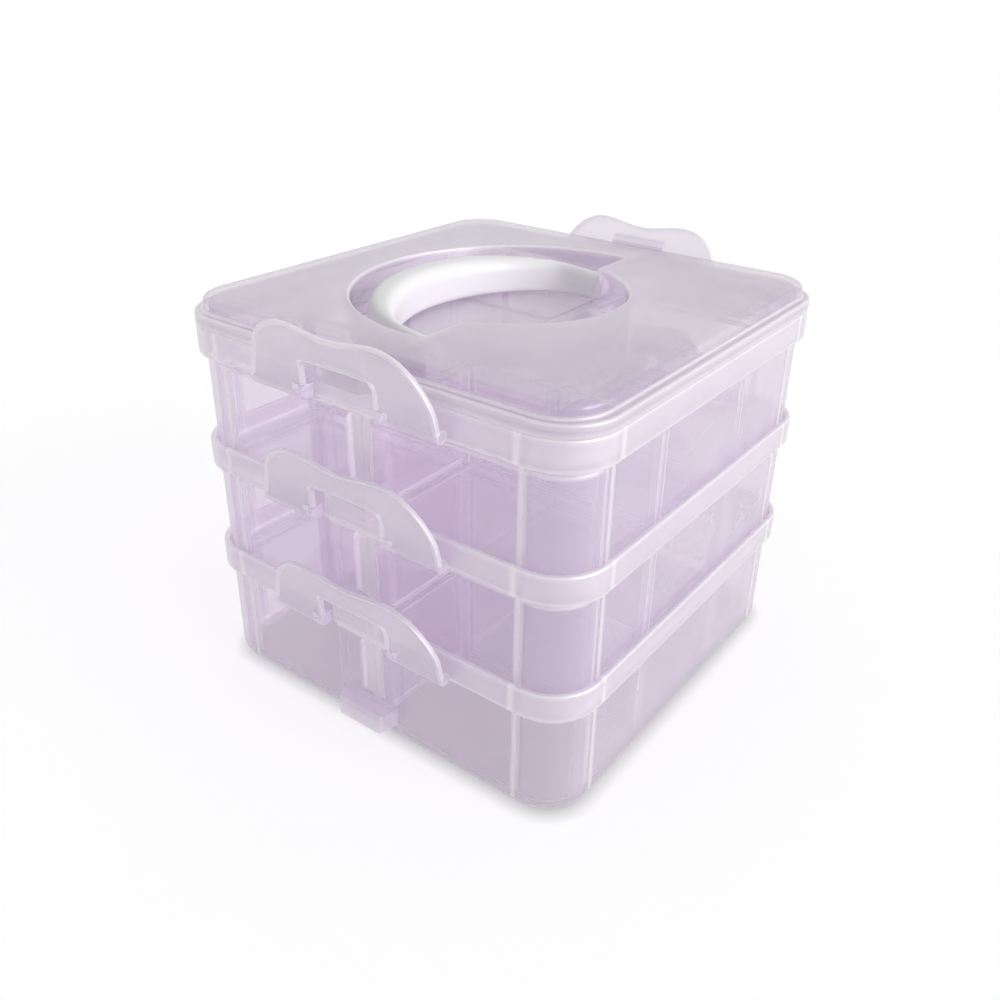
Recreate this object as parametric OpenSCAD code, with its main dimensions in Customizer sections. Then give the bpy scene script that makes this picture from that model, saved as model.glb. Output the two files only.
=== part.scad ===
// Stackable box of three trays under one lid, with swing latches, lift-out dividers and a carrying handle.
// +Z is up. The origin is the middle of the underside of the bottom tray. Latches are on the -Y and +Y sides.

/* [Trays] */
// Outer size across the rims, along X
rim_w = 150; // [135:1:200]
// Outer size across the rims, along Y
rim_d = 150; // [135:1:200]
// Outer corner radius of the rims
rim_r = 16.5; // [15:0.5:22]
// Height from one tray's floor to the next one's
pitch = 38.4; // [36:0.2:60]
// Height of the rim band
rim_h = 9.2; // [8.6:0.1:12]
// Thickness of the rim band
rim_t = 1.9; // [1.4:0.1:2.4]
// Thickness of the walls
wall_t = 1.8; // [1.2:0.1:2.4]
// Thickness of the floors
floor_t = 2; // [1.2:0.1:3]
// Thickness of the step that joins the wall to the rim
step_t = 1.4; // [1:0.1:2.5]
// Width of the ledge that the next tray stands on
ledge_w = 3.7; // [3.2:0.1:5]
// Radius of the outer bottom edge
base_r = 4; // [2:0.1:4.4]
// Gap between a tray and the rim that it sits in
nest_gap = 0.5; // [0.3:0.05:0.8]

/* [Dividers] */
// Thickness of the fixed middle wall
mid_wall_t = 1.6; // [1.2:0.1:3]
// Thickness of the lift-out dividers
divider_t = 1.5; // [1:0.1:2.5]
// Distance of the dividers from the middle, along Y
divider_y = 25; // [16:0.5:34]
// Gap round a divider in its grooves
divider_gap = 0.3; // [0.2:0.05:0.5]
// Gap between a divider's top and the floor above
divider_top_gap = 1.6; // [1:0.1:4]
// Thickness of the ribs beside a groove
groove_rib_t = 1.2; // [0.8:0.1:2]
// Depth of the ribs beside a groove
groove_rib_d = 2.2; // [1.5:0.1:3]

/* [Catches] */
// Half width of a catch at its root
catch_half_w = 10.5; // [8:0.5:12]
// Height of a catch's underside over the floor of its tray
catch_z = 6; // [5.4:0.1:7]
// Thickness of a catch
catch_t = 6.4; // [4:0.1:6.8]
// Reach of a catch past the rims
catch_reach = 4.6; // [4:0.1:5.2]
// Width of the ramp at a catch's outer edge
ramp_w = 1; // [0.6:0.1:1.4]
// Height of the ramp at a catch's outer edge
ramp_h = 1.5; // [1:0.1:2]
// Half width of the raised pad over a catch
pad_half_w = 12.3; // [11:0.1:14]
// How far the pad's face lies inside the rims
pad_inset = 0.4; // [0.2:0.1:0.8]

/* [Latches] */
// Half width of a latch
latch_half_w = 35; // [30:0.5:40]
// Height of a latch's two humps over the rim's lower edge
latch_h = 23.4; // [21:0.2:27]
// Depth of the dip between the humps
dip = 1.9; // [0.5:0.1:3]
// Distance from the middle to a hump
hump_x = 17; // [14:0.5:20]
// Thickness of a latch
latch_t = 1.8; // [1.4:0.1:2.2]
// Distance of a latch's outer face from the rims, at its foot
plate_out = 4.4; // [4.2:0.1:4.8]
// How far a latch leans out between its window and its top
plate_lean = 3.8; // [2:0.1:5]
// Half width of a latch's window
window_half_w = 13.2; // [12.8:0.1:14]
// Corner radius of a window
window_r = 2.4; // [1:0.1:2.5]
// Gap over and under a catch
catch_gap = 0.3; // [0.2:0.05:0.5]
// Height of the hook along a window's upper edge
hook_h = 4.2; // [3:0.1:6]
// Distance of the hinge axis from the rim's outer face
hinge_out = 2.5; // [2.4:0.1:3]
// Height of the hinge axis over the rim's lower edge
hinge_up = 2.2; // [2.1:0.1:2.8]
// Radius of the hinge rod
rod_r = 1.1; // [0.9:0.05:1.2]
// Radius of the barrel that clips round the rod
barrel_r = 2.1; // [1.9:0.05:2.1]
// Running gap between rod and barrel
rod_gap = 0.06; // [0.03:0.01:0.1]
// Thickness of the outer end that closes a barrel
barrel_cap = 0.8; // [0.6:0.1:2]
// Thickness of the lugs that carry a rod
lug_t = 2.3; // [1.6:0.1:3]
// Side gap between a lug and a barrel
lug_gap = 0.3; // [0.2:0.05:0.6]

/* [Lid] */
// Height of the lid's flange
flange_h = 4; // [3.9:0.1:6]
// Height of the whole lid over the top rim
lid_h = 8.2; // [7:0.1:12]
// How far the lid's top is set in from the flange
lid_inset = 2.8; // [1.5:0.1:4]
// Thickness of the lid
lid_t = 1.6; // [1.2:0.1:2.4]
// Radius of the lid's top edge
lid_edge_r = 2; // [1:0.1:2.6]
// Depth of the plug that goes into the top rim
plug_h = 2.5; // [1.5:0.1:4]
// Depth of the handle's well below the lid's top
well_depth = 14.2; // [14:0.1:14.6]
// Gap between the handle's outer radius and the well's floor on that side
well_gap = 6.8; // [4.8:0.1:9]
// Distance of that side's centre from the lid's middle
well_x = 5; // [0:0.5:8]
// How far that side widens from its floor to its top
well_slope = 1.5; // [0.5:0.5:4]
// Radius of the finger side of the well at the lid's top
finger_r = 37; // [32:0.5:42]
// How far the finger side widens from its floor to its top
finger_slope = 4; // [1:0.5:8]

/* [Handle] */
// Distance of the handle's axis from the lid's middle
pivot_x = 3; // [0:0.5:6]
// Outer radius of the handle
handle_r = 47.2; // [44:0.2:49]
// Fullness of the handle's outline: 2 is a circle, and more bulges between its middle and its ends
handle_full = 2.2; // [2:0.05:2.4]
// Width of the grip in the middle
grip_w = 11.6; // [10:0.2:15]
// Radius of the handle's inner edge
grip_in_r = 52; // [48:0.5:58]
// Thickness of the handle at its ends
handle_t = 9.2; // [8:0.2:11]
// How much thicker the grip gets towards its middle, as a share of the way there
grip_rise = 0.1; // [0:0.01:0.12]
// Gap under the handle
handle_gap = 0.5; // [0.3:0.1:1]
// Width of the handle's ends, along Y
arm_w = 4.2; // [3.4:0.1:9]
// Radius of the pivot pins
pin_r = 2; // [1.5:0.1:2.5]
// Length of a pivot pin
pin_l = 4.4; // [3:0.1:5]
// Running gap of a pin in its socket
pin_gap = 0.06; // [0.03:0.01:0.1]
// Gap between a handle's end and its ear
ear_gap = 0.5; // [0.3:0.1:1]
// Radius of an ear round its socket
ear_r = 5; // [4:0.1:5.2]
// Gap between the handle's ends and the well's step
step_gap = 1.6; // [1.4:0.1:3]

/* [Hidden] */
$fn = 96;
eps = 0.01;

lilac = [0.84, 0.76, 0.88];
white = [0.96, 0.97, 0.97];

// Corner centres, and distances from them along the outline's normal
corner_x = rim_w/2 - rim_r;
corner_y = rim_d/2 - rim_r;
rim_in = rim_r - rim_t;
wall_out = rim_in - nest_gap;
wall_in = wall_out - wall_t;
ledge_in = wall_in - ledge_w;
inner_r = base_r - floor_t + 0.2;

// Heights within one tray
rim_z = pitch - step_t;
tray_h = rim_z + rim_h;
stack = [0, pitch, 2*pitch];
lid_z = stack[2] + tray_h;
top_z = lid_z + lid_h;

// Distances from the middle plane to the faces on the latch sides
face_y = corner_y + rim_r;
wall_face_y = corner_y + wall_out;
wall_back_y = corner_y + wall_in;
pad_face_y = face_y - pad_inset;
catch_y = face_y + catch_reach;
catch_top = catch_z + catch_t;

// A ring or slab whose section is children(), drawn with X as the distance from the corner centres
module around() {
    for (sx = [0, 1], sy = [0, 1]) mirror([sx, 0, 0]) mirror([0, sy, 0]) {
        translate([corner_x, corner_y, 0]) rotate_extrude(angle = 90) children();
    }
    for (s = [0, 1]) {
        mirror([s, 0, 0]) translate([corner_x, corner_y, 0]) rotate([90, 0, 0])
            linear_extrude(2*corner_y) children();
        mirror([0, s, 0]) translate([-corner_x, corner_y, 0]) rotate([90, 0, 90])
            linear_extrude(2*corner_x) children();
    }
}

function arc_points(cx, cz, r, from, to, n = 8) =
    [for (i = [0:n]) let (a = from + (to - from)*i/n) [cx + r*cos(a), cz + r*sin(a)]];

module box_between(low, high) {
    translate(low) cube(high - low);
}

// ---- Trays ----

module tray_section() {
    polygon(concat(
        [[0, 0]],
        arc_points(wall_out - base_r, base_r, base_r, -90, 0),
        [[wall_out, rim_z], [rim_r, rim_z], [rim_r, tray_h], [rim_in, tray_h], [rim_in, pitch],
         [ledge_in, pitch], [ledge_in, pitch - step_t/2], [wall_in, pitch - step_t/2 - ledge_w]],
        arc_points(wall_in - inner_r, floor_t + inner_r, inner_r, 0, -90),
        [[0, floor_t]]));
}

// One side's catch: a ledge with rounded corners and a ramp along its outer top edge
module catch() {
    corner = 2;
    tip_half_w = catch_half_w - 1.5;
    difference() {
        translate([0, 0, catch_z]) linear_extrude(catch_t) {
            polygon([[-catch_half_w, -wall_face_y + 1], [catch_half_w, -wall_face_y + 1],
                     [tip_half_w, -catch_y + corner], [-tip_half_w, -catch_y + corner]]);
            for (s = [-1, 1]) translate([s*(tip_half_w - corner), -catch_y + corner]) circle(corner);
            translate([-tip_half_w + corner, -catch_y]) square([2*(tip_half_w - corner), 2*corner]);
        }
        translate([-catch_half_w, -catch_y, catch_top]) rotate([90, 0, 90])
            linear_extrude(2*catch_half_w)
                polygon([[-1, 1], [2*ramp_w, ramp_h], [0, -ramp_h], [-1, -2*ramp_h]]);
    }
}

// The raised panel between a catch and the rim, with its hollow behind
module pad() {
    box_between([-pad_half_w, -pad_face_y, catch_top - wall_t], [pad_half_w, -wall_back_y, rim_z + eps]);
}
module pad_hollow() {
    w = pad_half_w - wall_t;
    box_between([-w, -pad_face_y + wall_t, catch_top], [w, -wall_back_y + 1, pitch - step_t - ledge_w]);
}

// A lug on each side of the window, and the rod that reaches out from it into the latch's barrel
lug_in = window_half_w + 0.4;
rod_end = latch_half_w - barrel_cap - lug_gap;
hinge_y = face_y + hinge_out;
hinge_z = rim_z + hinge_up;
lug_r = hinge_up;
module hinge_rods() {
    for (s = [0, 1]) mirror([s, 0, 0]) {
        translate([lug_in, -hinge_y, hinge_z]) rotate([0, 90, 0]) cylinder(r = lug_r, h = lug_t);
        box_between([lug_in, -hinge_y, hinge_z - lug_r],
                    [lug_in + lug_t, -face_y + rim_t/2, hinge_z + lug_r]);
        translate([lug_in + eps, -hinge_y, hinge_z]) rotate([0, 90, 0])
            cylinder(r = rod_r, h = rod_end - lug_in - eps);
    }
}

// Gap in the rim for the catch of whatever stands on this tray
notch_half_w = catch_half_w + 1.5;
module rim_notch() {
    box_between([-notch_half_w, -face_y - 1, pitch + catch_z - catch_gap - 0.5],
                [notch_half_w, -corner_y, tray_h + 1]);
}

module both_sides() {
    children();
    mirror([0, 1, 0]) children();
}

// Grooves for the dividers
slot_w = divider_t + 2*divider_gap;
module groove_ribs() {
    rib_top = pitch - step_t/2 - ledge_w;
    for (sx = [0, 1], sy = [0, 1]) mirror([sx, 0, 0]) mirror([0, sy, 0])
        for (side = [-1, 1]) {
            y = divider_y + side*(slot_w + groove_rib_t)/2;
            x_wall = corner_x + wall_in;
            box_between([x_wall - groove_rib_d, y - groove_rib_t/2, floor_t - eps],
                        [x_wall + eps, y + groove_rib_t/2, rib_top + ledge_w - eps]);
            box_between([mid_wall_t/2 - eps, y - groove_rib_t/2, floor_t - eps],
                        [mid_wall_t/2 + groove_rib_d, y + groove_rib_t/2, rib_top]);
        }
}
module ledge_slots() {
    for (sx = [0, 1], sy = [0, 1]) mirror([sx, 0, 0]) mirror([0, sy, 0])
        box_between([corner_x + ledge_in - 1, divider_y - slot_w/2, floor_t + inner_r],
                    [corner_x + wall_in, divider_y + slot_w/2, pitch + 1]);
}

mid_wall_h = pitch - 0.4;
pilaster_half_w = 4;
module middle_wall() {
    reach = pad_face_y - wall_t + eps;
    box_between([-mid_wall_t/2, -wall_back_y - eps, floor_t - eps],
                [mid_wall_t/2, wall_back_y + eps, mid_wall_h]);
    both_sides() box_between([-pilaster_half_w, -reach, catch_top - eps],
                             [pilaster_half_w, -wall_back_y, pitch - step_t - ledge_w]);
}

module tray() {
    difference() {
        union() {
            difference() {
                union() {
                    around() tray_section();
                    box_between([-corner_x, -corner_y, 0], [corner_x, corner_y, floor_t]);
                    both_sides() pad();
                }
                both_sides() pad_hollow();
            }
            both_sides() catch();
            both_sides() hinge_rods();
            middle_wall();
            groove_ribs();
        }
        ledge_slots();
        both_sides() rim_notch();
    }
}

module tray_at(level) {
    color(lilac, 0.5) translate([0, 0, stack[level]]) tray();
}
module tray_bottom() { tray_at(0); }
module tray_middle() { tray_at(1); }
module tray_top() { tray_at(2); }

// ---- Dividers ----

module divider(level, index) {
    sx = index % 2 == 0 ? 0 : 1;
    sy = index < 2 ? 0 : 1;
    inner_end = mid_wall_t/2 + divider_gap;
    outer_end = corner_x + wall_in - divider_gap;
    corner = inner_r + 0.4;
    top = pitch - divider_top_gap;
    color(lilac, 0.5) translate([0, 0, stack[level]]) mirror([sx, 0, 0]) mirror([0, sy, 0])
        translate([0, divider_y + divider_t/2, 0]) rotate([90, 0, 0]) linear_extrude(divider_t)
            polygon(concat([[inner_end, floor_t]],
                           arc_points(outer_end - corner, floor_t + corner, corner, -90, 0),
                           [[outer_end, top], [inner_end, top]]));
}

// ---- Latches ----

// Height of a latch's edge over the rim's lower edge, at a distance x from its middle
function latch_edge(x) =
    let (flat = latch_h - dip*(1 + cos(180*min(abs(x), hump_x)/hump_x))/2,
         side = (abs(x) - hump_x)/(latch_half_w - hump_x))
    abs(x) <= hump_x ? flat : latch_h*pow(max(0, 1 - pow(side, 2.1)), 1/1.9);

module latch_outline() {
    steps = 44;
    xs = [for (i = [0:steps]) latch_half_w*sin(-90 + 180*i/steps)];
    polygon(concat([for (x = xs) [x, rim_z + max(hinge_up + 1, latch_edge(x))]],
                   [[latch_half_w, hinge_z], [-latch_half_w, hinge_z]]));
}

// Distance of a latch's outer face from the rim's outer face, at a height over the rim's lower edge
function latch_out(z) =
    let (low = 9, lean = max(0, z - low)/(latch_h - low))
    plate_out + 0.4*min(1, z/low) + plate_lean*pow(lean, 1.1);

module latch_side() {
    n = 14;
    heights = [for (i = [0:n]) latch_h*i/n];
    polygon(concat([for (z = heights) [face_y + latch_out(z), rim_z + z]],
                   [for (i = [n:-1:0]) [face_y + latch_out(heights[i]) - latch_t, rim_z + heights[i]]]));
}

// Section of the hook, which reaches in over the catch with a ramp that runs beside the catch's own
hook_z = pitch + catch_top + catch_gap;
hook_side_gap = 0.2;
hook_low = hook_z - ramp_h - hook_side_gap*ramp_h/ramp_w;
hook_tip = face_y + catch_reach - ramp_w;
hook_foot = face_y + catch_reach + hook_side_gap;
module hook_section() {
    low = face_y + latch_out(hook_z - rim_z) - latch_t/2;
    high = face_y + latch_out(hook_z + hook_h - rim_z) - latch_t/2;
    polygon([[hook_tip, hook_z], [hook_foot, hook_low], [low, hook_low], [high, hook_z + hook_h],
             [hook_tip, hook_z + hook_h/2]]);
}
module under_hook_section() {
    polygon([[face_y, hook_low - 1], [hook_foot, hook_low - 1], [hook_foot, hook_low],
             [hook_tip, hook_z], [face_y, hook_z]]);
}
module along_hook() {
    half_w = window_half_w - window_r;
    translate([-half_w, 0, 0]) rotate([90, 0, 90]) linear_extrude(2*half_w) mirror([1, 0]) children();
}

module latch_window() {
    half_w = window_half_w - window_r;
    rotate([90, 0, 0]) linear_extrude(face_y + latch_h) {
        translate([-window_half_w, rim_z - 1]) square([2*window_half_w, hook_low - window_r - rim_z + 1]);
        translate([-half_w, hook_low - window_r - eps]) square([2*half_w, window_r + eps]);
        for (s = [-1, 1]) translate([s*half_w, hook_low - window_r]) circle(window_r);
    }
}

module latch(level) {
    clear_r = lug_r + 0.35;
    barrel_in = lug_in + lug_t + lug_gap;
    color(lilac, 0.5) translate([0, 0, stack[level]]) difference() {
        union() {
            difference() {
                intersection() {
                    rotate([90, 0, 0]) linear_extrude(face_y + latch_h) latch_outline();
                    translate([-latch_half_w, 0, 0]) rotate([90, 0, 90])
                        linear_extrude(2*latch_half_w) mirror([1, 0]) latch_side();
                }
                latch_window();
                along_hook() under_hook_section();
                // Room for the lugs, which the latch turns past
                box_between([-barrel_in, -face_y - 20, 0], [barrel_in, 0, hinge_z + clear_r]);
            }
            along_hook() hook_section();
            for (s = [0, 1]) mirror([s, 0, 0]) translate([barrel_in, -hinge_y, hinge_z])
                rotate([0, 90, 0]) cylinder(r = barrel_r, h = latch_half_w - barrel_in);
        }
        for (s = [0, 1]) mirror([s, 0, 0]) {
            translate([barrel_in - 1, -hinge_y, hinge_z]) rotate([0, 90, 0])
                cylinder(r = rod_r + rod_gap, h = rod_end + lug_gap - barrel_in + 1);
            // Mouth through which the barrel snaps over its rod
            box_between([barrel_in - 1, -hinge_y, hinge_z - 0.8*rod_r],
                        [rod_end + lug_gap, -face_y, hinge_z + 0.8*rod_r]);
        }
    }
}
module rear() { mirror([0, 1, 0]) children(); }

// ---- Lid ----

well_z = top_z - well_depth;
axis_z = well_z + handle_gap + handle_t/2;
ear_y = handle_r + ear_gap;
well_r = handle_r + well_gap;
step_x = pivot_x + handle_t/2 + step_gap;

module lid_section() {
    out = rim_r - lid_inset;
    in = out - lid_t;
    polygon(concat(
        [[0, lid_h - lid_t], [in - 1, lid_h - lid_t], [in, lid_h - lid_t - 1], [in, -plug_h],
         [wall_out, -plug_h], [wall_out, 0], [rim_r, 0], [rim_r, flange_h], [out, flange_h]],
        arc_points(out - lid_edge_r, lid_h - lid_edge_r, lid_edge_r, 0, 90),
        [[0, lid_h]]));
}

// The well's space grown by g, up to a height: wide under the handle, narrower where fingers reach in
module well(g, top) {
    bottom = well_z - g;
    height = top - bottom;
    intersection() {
        translate([well_x, 0, bottom])
            cylinder(r1 = well_r + g, r2 = well_r + g + well_slope*height/well_depth, h = height);
        box_between([-rim_w, -rim_d, 0], [step_x + g, rim_d, top_z + 2]);
    }
    translate([0, 0, bottom])
        cylinder(r1 = finger_r - finger_slope + g, h = height,
                 r2 = finger_r - finger_slope + g + finger_slope*height/well_depth);
}

// The two posts that carry the handle's pins
module ears() {
    both_sides() {
        translate([pivot_x, -ear_y, axis_z]) rotate([90, 0, 0]) cylinder(r = ear_r, h = well_r);
        box_between([pivot_x - ear_r, -ear_y - well_r, well_z - lid_t/2],
                    [pivot_x + ear_r, -ear_y, axis_z]);
        box_between([pivot_x, -ear_y - well_r, well_z - lid_t/2],
                    [step_x + lid_t/2, -ear_y, axis_z + ear_r]);
    }
}

module lid() {
    color(lilac, 0.5) difference() {
        union() {
            difference() {
                union() {
                    translate([0, 0, lid_z]) {
                        around() lid_section();
                        box_between([-corner_x, -corner_y, lid_h - lid_t], [corner_x, corner_y, lid_h]);
                    }
                    well(lid_t, top_z);
                }
                well(0, top_z + 1);
            }
            intersection() {
                ears();
                well(lid_t/2, top_z);
            }
            both_sides() translate([0, 0, stack[2] + pitch]) catch();
        }
        both_sides() translate([pivot_x, -ear_y + 1, axis_z]) rotate([90, 0, 0])
            cylinder(r = pin_r + pin_gap, h = pin_l + 1);
    }
}

// ---- Handle ----

// Seen from above: a crescent whose two ends run straight to the axis. Its outer edge is half a superellipse
function full(share) = sign(share)*pow(abs(share), 2/handle_full);
module handle_plan() {
    in_x = pivot_x - handle_r + grip_w + grip_in_r;
    steps = 48;
    difference() {
        polygon([for (i = [0:steps]) let (a = 90 + 180*i/steps)
            [pivot_x + handle_r*full(cos(a)), handle_r*full(sin(a))]]);
        intersection() {
            translate([in_x, 0]) circle(grip_in_r);
            square([4*handle_r, 2*(handle_r - arm_w)], center = true);
        }
    }
}

module handle() {
    low = axis_z - handle_t/2;
    rise = grip_rise*handle_r;
    color(white) {
        difference() {
            translate([0, 0, low]) linear_extrude(handle_t + rise) handle_plan();
            rotate([90, 0, 0]) translate([0, 0, -handle_r - 1]) linear_extrude(2*handle_r + 2)
                polygon([[pivot_x + 1, low + handle_t], [pivot_x, low + handle_t],
                         [pivot_x - handle_r, low + handle_t + rise],
                         [pivot_x - handle_r - grip_w, low + handle_t + rise + grip_w*grip_rise],
                         [pivot_x - handle_r - grip_w, low + handle_t + rise + grip_w],
                         [pivot_x + 1, low + handle_t + rise + grip_w]]);
        }
        both_sides() {
            translate([pivot_x, -handle_r + arm_w, axis_z]) rotate([90, 0, 0])
                cylinder(r = handle_t/2, h = arm_w);
            translate([pivot_x, -handle_r + 1, axis_z]) rotate([90, 0, 0])
                cylinder(r = pin_r, h = pin_l + 1 + ear_gap/2);
        }
    }
}

tray_bottom();
tray_middle();
tray_top();
lid();
handle();
latch(0);  // latch_front_bottom
latch(1);  // latch_front_middle
latch(2);  // latch_front_top
rear() latch(0);  // latch_rear_bottom
rear() latch(1);  // latch_rear_middle
rear() latch(2);  // latch_rear_top
divider(0, 0);  // divider_bottom_1
divider(0, 1);  // divider_bottom_2
divider(0, 2);  // divider_bottom_3
divider(0, 3);  // divider_bottom_4
divider(1, 0);  // divider_middle_1
divider(1, 1);  // divider_middle_2
divider(1, 2);  // divider_middle_3
divider(1, 3);  // divider_middle_4
divider(2, 0);  // divider_top_1
divider(2, 1);  // divider_top_2
divider(2, 2);  // divider_top_3
divider(2, 3);  // divider_top_4
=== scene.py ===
"""Art supply box: three nested trays of clear lilac polypropylene under one lid, with swing latches,
lift-out dividers and a white carrying handle. Lengths in the sections are in millimetres."""

import math

import bpy
import numpy as np
from mathutils import Matrix, Vector


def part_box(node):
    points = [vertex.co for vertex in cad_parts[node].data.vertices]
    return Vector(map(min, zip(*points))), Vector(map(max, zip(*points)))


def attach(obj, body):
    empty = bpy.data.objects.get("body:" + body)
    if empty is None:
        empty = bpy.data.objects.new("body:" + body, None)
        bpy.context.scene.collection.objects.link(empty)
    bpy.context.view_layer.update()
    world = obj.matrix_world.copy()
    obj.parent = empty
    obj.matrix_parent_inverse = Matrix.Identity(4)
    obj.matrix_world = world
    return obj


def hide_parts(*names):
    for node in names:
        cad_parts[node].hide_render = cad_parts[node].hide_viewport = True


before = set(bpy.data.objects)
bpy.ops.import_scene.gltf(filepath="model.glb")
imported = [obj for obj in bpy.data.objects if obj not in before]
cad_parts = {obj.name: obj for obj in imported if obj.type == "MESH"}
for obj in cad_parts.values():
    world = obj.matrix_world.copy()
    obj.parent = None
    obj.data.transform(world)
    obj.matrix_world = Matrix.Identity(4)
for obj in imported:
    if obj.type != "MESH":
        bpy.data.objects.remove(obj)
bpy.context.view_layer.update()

# ---- Trays ----
# Each tray is one injection moulding of clear lilac polypropylene: floor, walls, rim, stacking ledge, fixed
# middle wall, divider grooves, catches and hinge rods all come out of one tool, and all three are alike.

CORNER = 58.5  # from the middle to the centres of the rounded corners
FLOOR_T, PITCH = 2.0, 38.4
RIM_LOW, RIM_TOP = 37.0, 46.2
RIM_OUT, RIM_IN, WALL_OUT, WALL_IN, LEDGE_IN = 16.5, 14.6, 14.1, 12.3, 8.6  # from those centres
FACE = CORNER + RIM_OUT
PAD_HALF, PAD_OUT, POST_HALF = 12.4, 2.0, 4.0  # the wall's pad over a catch and the post in its middle
SLOT_Y, SLOT_HALF = 25.0, 1.05  # the divider slots in the ledge
CATCH_LOW, CATCH_HIGH, CATCH_HALF, CATCH_OUT = 6.02, 12.38, 10.5, 7.1


def linear(hex_colour):
    """The linear RGBA of an sRGB hex colour."""
    c = np.array([int(hex_colour[i : i + 2], 16) for i in (0, 2, 4)]) / 255
    c = np.where(c <= 0.04045, c / 12.92, ((c + 0.055) / 1.055) ** 2.4)
    return (*c.tolist(), 1.0)


def add(tree, kind, settings=(), **links):
    """Adds one shader node. Settings go to its attributes or its inputs, and links join its inputs: _0 is
    input 0, and Base_Color is Base Color."""
    n = tree.nodes.new(kind)
    for key, value in dict(settings).items():
        if isinstance(key, str) and hasattr(n, key):
            setattr(n, key, value)
        else:
            n.inputs[key].default_value = value
    for key, socket in links.items():
        tree.links.new(socket, n.inputs[int(key[1:])] if key[0] == "_" else n.inputs[key.replace("_", " ")])
    return n


def rounded(corners, radii, steps=5, closed=True):
    """Rounds an outline: at each corner, an arc of the given radius that touches both edges, its points
    turned evenly about a centre on the corner's bisector. An open outline keeps its two end points."""
    p = np.asarray(corners, float)
    r = np.maximum(np.broadcast_to(np.asarray(radii, float), len(p)), 0.02)[:, None]
    back, ahead = np.roll(p, 1, 0) - p, np.roll(p, -1, 0) - p
    back /= np.linalg.norm(back, axis=1, keepdims=True)
    ahead /= np.linalg.norm(ahead, axis=1, keepdims=True)
    half = 0.5 * np.arccos(np.clip((back * ahead).sum(1, keepdims=True), -0.99999, 0.99999))
    bisector = back + ahead
    bisector /= np.linalg.norm(bisector, axis=1, keepdims=True)
    centre = p + bisector * r / np.sin(half)
    u, v = p + back * r / np.tan(half) - centre, p + ahead * r / np.tan(half) - centre
    turn = (math.pi - 2 * half)[:, None]
    w = np.linspace(0, 1, steps)[None, :, None]
    swing = np.sin((1 - w) * turn) * u[:, None] + np.sin(w * turn) * v[:, None]
    arc = centre[:, None] + swing / np.sin(turn)
    if closed:
        return arc.reshape(-1, 2)
    return np.vstack([p[:1], arc[1:-1].reshape(-1, 2), p[-1:]])


def refined(line, step, closed=False):
    """Puts evenly spaced points into every segment of a line that is longer than a step."""
    nxt = np.roll(line, -1, 0) if closed else line[1:]
    own = line if closed else line[:-1]
    count = np.maximum(1, np.ceil(np.linalg.norm(nxt - own, axis=1) / step).astype(int))
    start = np.repeat(np.arange(len(own)), count)
    share = (np.arange(count.sum()) - np.repeat(np.cumsum(count) - count, count)) / count[start]
    out = own[start] + (nxt - own)[start] * share[:, None]
    return out if closed else np.vstack([out, line[-1:]])


def ease(x, start, end):
    """0 before start and 1 after end, with a smooth S between them."""
    t = np.clip((x - start) / (end - start), 0, 1)
    return t * t * (3 - 2 * t)


def near_spots(points, spots, reach):
    """1 at a spot and 0 further from every spot than the reach, with a smooth fall between."""
    gap = np.linalg.norm(points[:, None] - np.asarray(spots, float)[None], axis=2).min(1)
    return 1 - ease(gap, 0.25 * reach, reach)


def skin(grid, loop_u, loop_v, depth=0.0):
    """Faces over a grid of points (u, v, 3). A loop closes on itself, and the open ends get flat caps.
    Returns points, faces turned outwards, and each point's depth: 0 on a thin wall, and 1 or more where the
    eye looks into solid plastic or where a glow or highlight is painted. Depth is one number or an array that
    fits the grid."""
    m, n = grid.shape[:2]
    ids = np.arange(m * n).reshape(m, n)
    a = ids if loop_u else ids[:-1]
    b = np.roll(ids, -1, 0) if loop_u else ids[1:]
    cut = slice(None) if loop_v else slice(0, n - 1)
    ring = (a, b, np.roll(b, -1, 1), np.roll(a, -1, 1))
    quads = np.stack([k[:, cut] for k in ring], -1).reshape(-1, 4)
    caps = []
    if loop_u and not loop_v:
        caps = [ids[:, 0][::-1].tolist(), ids[:, -1].tolist()]
    if loop_v and not loop_u:
        caps = [ids[0].tolist(), ids[-1][::-1].tolist()]
    faces = quads.tolist() + caps
    depths = np.broadcast_to(np.asarray(depth, float), (m, n)).reshape(-1)
    points = grid.reshape(-1, 3)
    p = points[quads] - points.mean(0)
    volume = (np.einsum("ij,ij->i", p[:, 0], np.cross(p[:, 1], p[:, 2]))
              + np.einsum("ij,ij->i", p[:, 0], np.cross(p[:, 2], p[:, 3]))).sum()
    if volume < 0:
        faces = [f[::-1] for f in faces]
    return points, faces, depths


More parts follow.
